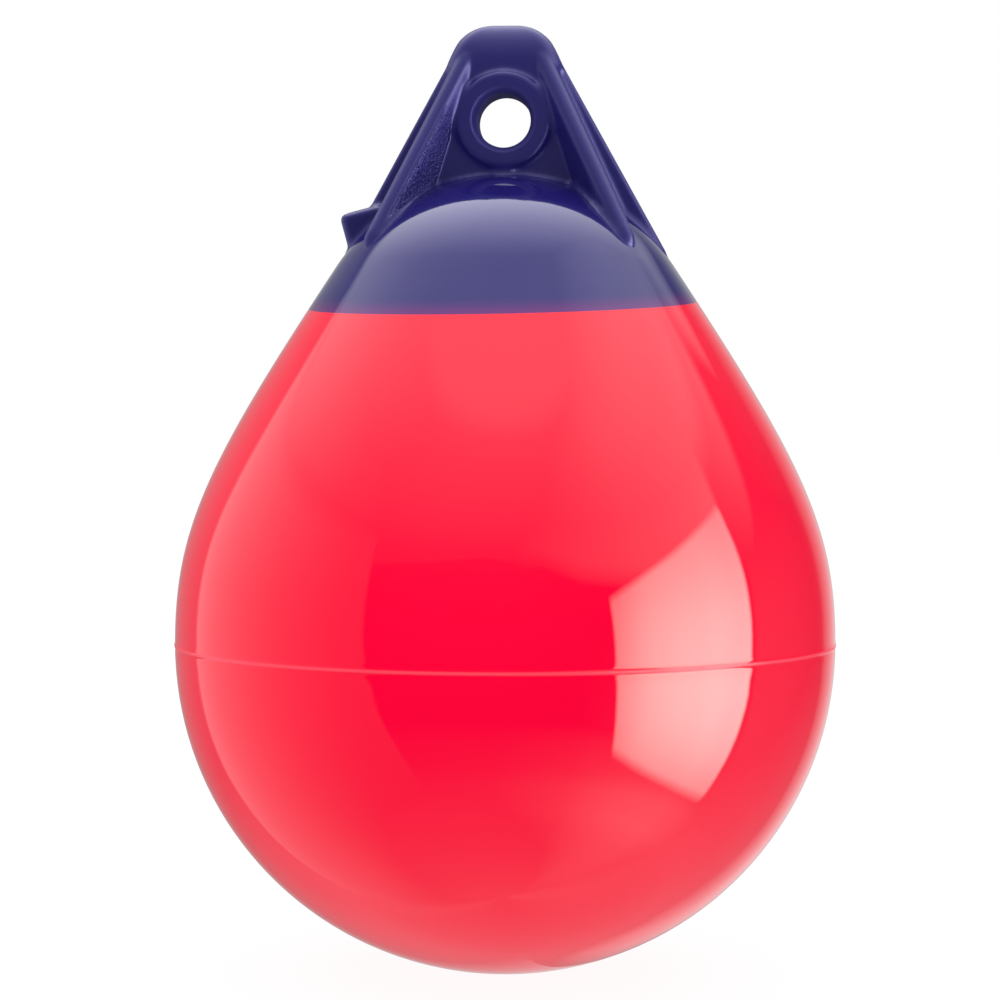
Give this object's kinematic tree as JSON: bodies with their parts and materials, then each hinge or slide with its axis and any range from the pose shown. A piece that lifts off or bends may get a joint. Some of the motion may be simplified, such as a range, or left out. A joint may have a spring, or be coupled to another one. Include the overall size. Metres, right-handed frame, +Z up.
{
  "type": "ball fender",
  "caption": "Inflatable teardrop ball fender: a hollow vinyl ball with a moulded rope end that carries a ribbed lug, a ringed rope eye and a valve boss.",
  "frame": {"origin": "centre of the rope eye, on its bore axis and in the lug's middle plane", "axes": "+Z up, from the ball through the eye; +Y along the eye's bore, to the back; +X to the right, away from the valve boss"},
  "size_m": [0.3692, 0.3692, 0.5277],
  "materials": {
    "red_vinyl": "glossy soft vinyl",
    "blue_vinyl": "satin to glossy moulded vinyl",
    "black_plastic": "satin",
    "white_plastic": "satin"
  },
  "bodies": {
    "root": {"ball_shell": "red_vinyl", "rope_end": "blue_vinyl", "valve_insert": "black_plastic", "valve_screw": "white_plastic"}
  },
  "joints": []
}
